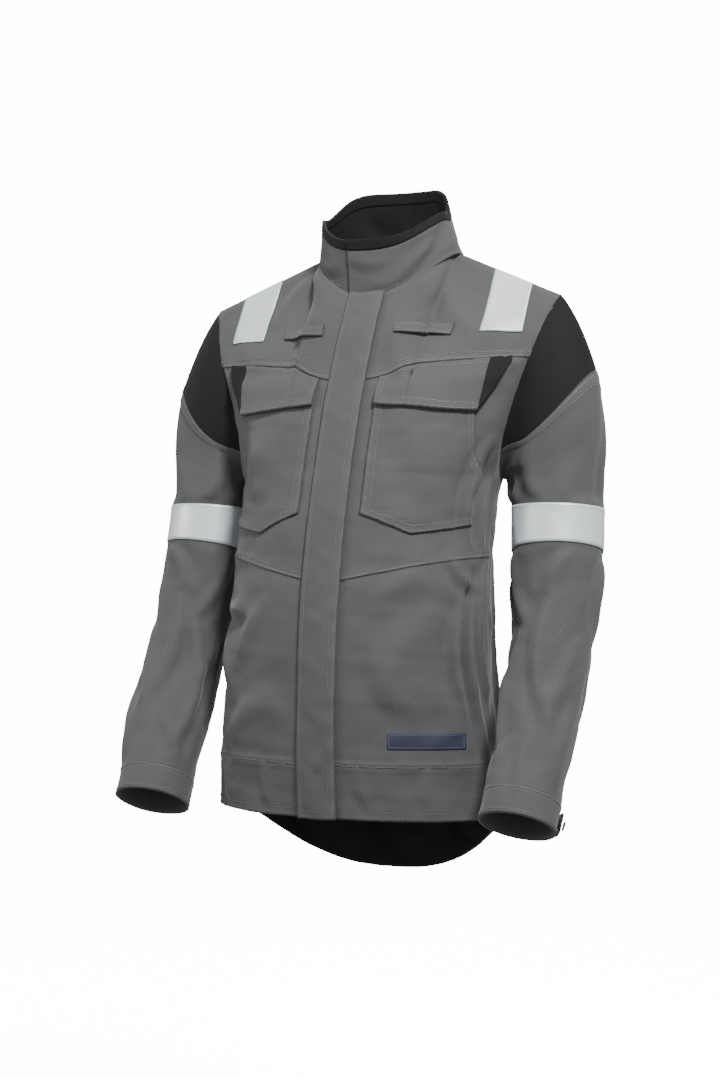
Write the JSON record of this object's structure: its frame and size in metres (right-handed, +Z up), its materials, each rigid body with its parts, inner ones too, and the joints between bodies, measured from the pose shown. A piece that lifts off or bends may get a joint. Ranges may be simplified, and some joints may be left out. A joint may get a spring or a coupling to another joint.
{
  "type": "welding jacket",
  "caption": "Hip-length welder's work jacket of grey flame-retardant twill with black inserts, stand collar, storm flap over a zip, flapped chest pockets and silver reflective tape.",
  "frame": {"origin": "middle of the top edge of the neck loop, where a hook carries the jacket", "axes": "+Z up, towards the collar; the front faces -Y; +X towards the wearer's left"},
  "size_m": [0.5606, 0.2806, 0.8188],
  "materials": {
    "grey_twill": "mid-grey flame-retardant cotton twill, matt",
    "black_twill": "near-black twill, matt",
    "silver_tape": "silver retroreflective tape, satin",
    "navy_label": "navy woven label, plain",
    "zip_metal": "antique brass",
    "snap_black": "black enamelled press stud"
  },
  "bodies": {
    "torso": {"back_panel": "grey_twill", "back_yoke": "grey_twill", "chest_panel_left": "grey_twill", "chest_panel_right": "grey_twill", "chest_pocket_left": "grey_twill", "chest_pocket_right": "grey_twill", "collar_binding": "black_twill", "collar_lining": "black_twill", "collar_outer": "grey_twill", "fly_stud_1": "snap_black", "fly_stud_2": "snap_black", "fly_stud_3": "snap_black", "fly_stud_4": "snap_black", "fly_stud_5": "snap_black", "front_yoke_left": "grey_twill", "front_yoke_right": "grey_twill", "hanger_loop": "grey_twill", "hem_band_back": "grey_twill", "hem_band_left": "grey_twill", "hem_band_right": "grey_twill", "lower_front_left": "grey_twill", "lower_front_right": "grey_twill", "radio_loop_left": "grey_twill", "radio_loop_right": "grey_twill", "shoulder_tape_back_left": "silver_tape", "shoulder_tape_back_right": "silver_tape", "shoulder_tape_front_left": "silver_tape", "shoulder_tape_front_right": "silver_tape", "side_label": "navy_label", "tail_lining": "black_twill", "zip_tape_left": "black_twill", "zip_tape_right": "black_twill", "zip_teeth_left": "zip_metal", "zip_teeth_right": "zip_metal"},
    "sleeve_left": {"sleeve_left": "grey_twill", "sleeve_insert_left": "black_twill", "arm_band_left": "silver_tape", "cuff_left": "grey_twill", "cuff_post_left": "snap_black"},
    "cuff_tab_left": {"cuff_tab_left": "grey_twill", "cuff_stud_left": "snap_black"},
    "pocket_flap_left": {"pocket_flap_left": "grey_twill", "flap_corner_left": "black_twill"},
    "sleeve_right": {"sleeve_right": "grey_twill", "sleeve_insert_right": "black_twill", "arm_band_right": "silver_tape", "cuff_right": "grey_twill", "cuff_post_right": "snap_black"},
    "cuff_tab_right": {"cuff_tab_right": "grey_twill", "cuff_stud_right": "snap_black"},
    "pocket_flap_right": {"pocket_flap_right": "grey_twill", "flap_corner_right": "black_twill"},
    "storm_flap": {"storm_flap": "grey_twill"},
    "zip_slider": {"zip_slider": "zip_metal", "zip_puller": "zip_metal"}
  },
  "joints": [
    {"name": "storm_flap_open", "type": "hinge", "parent": "torso", "child": "storm_flap", "pos_m": [0.036, -0.1932, -0.38407], "axis": [0, 0.1833, 0.983], "range_deg": [0, 50]},
    {"name": "zip_run", "type": "hinge", "parent": "torso", "child": "zip_slider", "pos_m": [0, 0.7238, -0.56007], "axis": [1, 0, 0], "range_deg": [0, 33]},
    {"name": "pocket_flap_left_lift", "type": "hinge", "parent": "torso", "child": "pocket_flap_left", "pos_m": [0.1084, -0.14268, -0.17708], "axis": [-0.9243, -0.3461, -0.1611], "range_deg": [0, 110]},
    {"name": "sleeve_left_raise", "type": "hinge", "parent": "torso", "child": "sleeve_left", "pos_m": [0.214, -0.0602, -0.09107], "axis": [0, -1, 0], "range_deg": [0, 40]},
    {"name": "cuff_tab_left_open", "type": "hinge", "parent": "sleeve_left", "child": "cuff_tab_left", "pos_m": [0.23389, -0.14987, -0.6962], "axis": [0.0339, 0.4642, 0.8851], "range_deg": [0, 90]},
    {"name": "pocket_flap_right_lift", "type": "hinge", "parent": "torso", "child": "pocket_flap_right", "pos_m": [-0.1084, -0.14268, -0.17708], "axis": [-0.9243, 0.3461, 0.1611], "range_deg": [0, 110]},
    {"name": "sleeve_right_raise", "type": "hinge", "parent": "torso", "child": "sleeve_right", "pos_m": [-0.214, -0.0602, -0.09107], "axis": [0, 1, 0], "range_deg": [0, 40]},
    {"name": "cuff_tab_right_open", "type": "hinge", "parent": "sleeve_right", "child": "cuff_tab_right", "pos_m": [-0.23389, -0.14987, -0.6962], "axis": [0.0339, -0.4642, -0.8851], "range_deg": [0, 90]}
  ]
}
